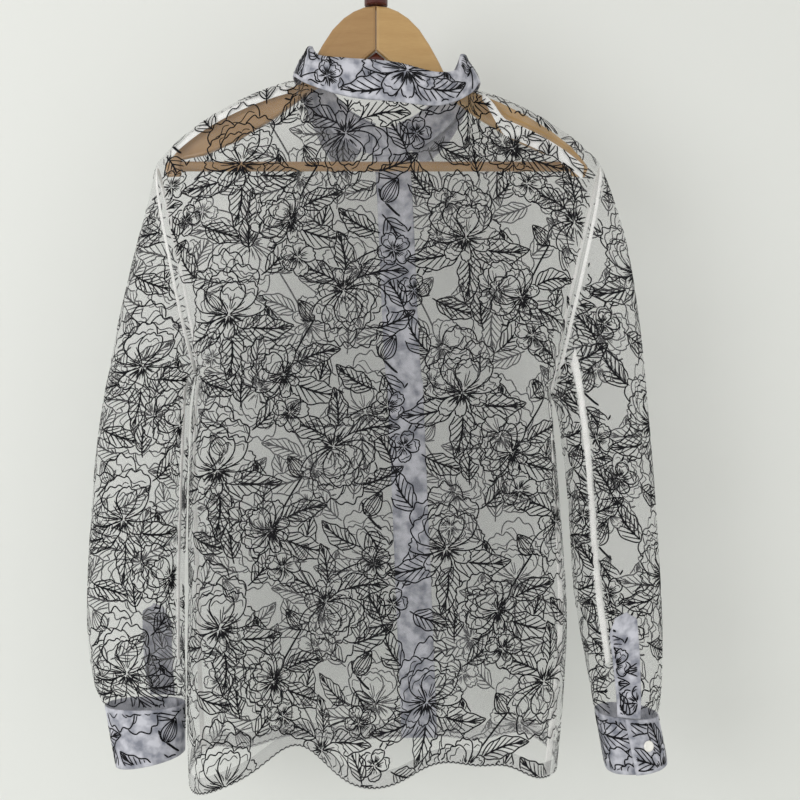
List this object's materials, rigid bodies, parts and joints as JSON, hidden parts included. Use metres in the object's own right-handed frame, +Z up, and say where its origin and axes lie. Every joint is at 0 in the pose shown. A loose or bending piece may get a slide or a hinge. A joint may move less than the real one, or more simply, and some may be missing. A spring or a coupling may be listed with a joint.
{
  "type": "shirt on a hanger",
  "caption": "Sheer net shirt with a folded collar, buttoned front and long cuffed sleeves, hung on a wooden hanger with a trouser bar and a wire hook.",
  "frame": {"origin": "top of the inside of the hanger's hook, where it rests on a rail", "axes": "+Z up; -Y towards the shirt's back, which faces the viewer; +X towards the wearer's right, which is the viewer's right"},
  "size_m": [0.574, 0.1172, 0.827],
  "materials": {
    "mesh": "sheer net cloth with dark line embroidery",
    "trim": "plain woven cloth under embroidered net",
    "tape": "white woven tape",
    "button": "white, satin",
    "wood": "clear lacquered pale wood",
    "red_metal": "dark red, gloss",
    "steel": "bright drawn wire"
  },
  "bodies": {
    "root": {"back_panel": "mesh", "front_right": "mesh", "front_left": "mesh", "placket_over": "trim", "placket_under": "trim", "sleeve_left": "mesh", "sleeve_right": "mesh", "cuff_left": "trim", "cuff_right": "trim", "sleeve_placket_left": "trim", "sleeve_placket_right": "trim", "collar_stand": "trim", "collar_fall": "trim", "side_tape_left": "tape", "side_tape_right": "tape", "shoulder_tape_left": "tape", "shoulder_tape_right": "tape", "armhole_tape_left": "tape", "sleeve_tape_left": "tape", "armhole_tape_right": "tape", "sleeve_tape_right": "tape", "front_button_1": "button", "front_button_2": "button", "front_button_3": "button", "front_button_4": "button", "front_button_5": "button", "front_button_6": "button", "collar_button": "button", "cuff_button_left": "button", "cuff_button_right": "button", "hanger_arm_left": "wood", "hanger_arm_right": "wood", "trouser_bar": "wood", "hook_nut": "red_metal", "hook_sleeve": "red_metal", "hook": "steel"}
  },
  "joints": []
}
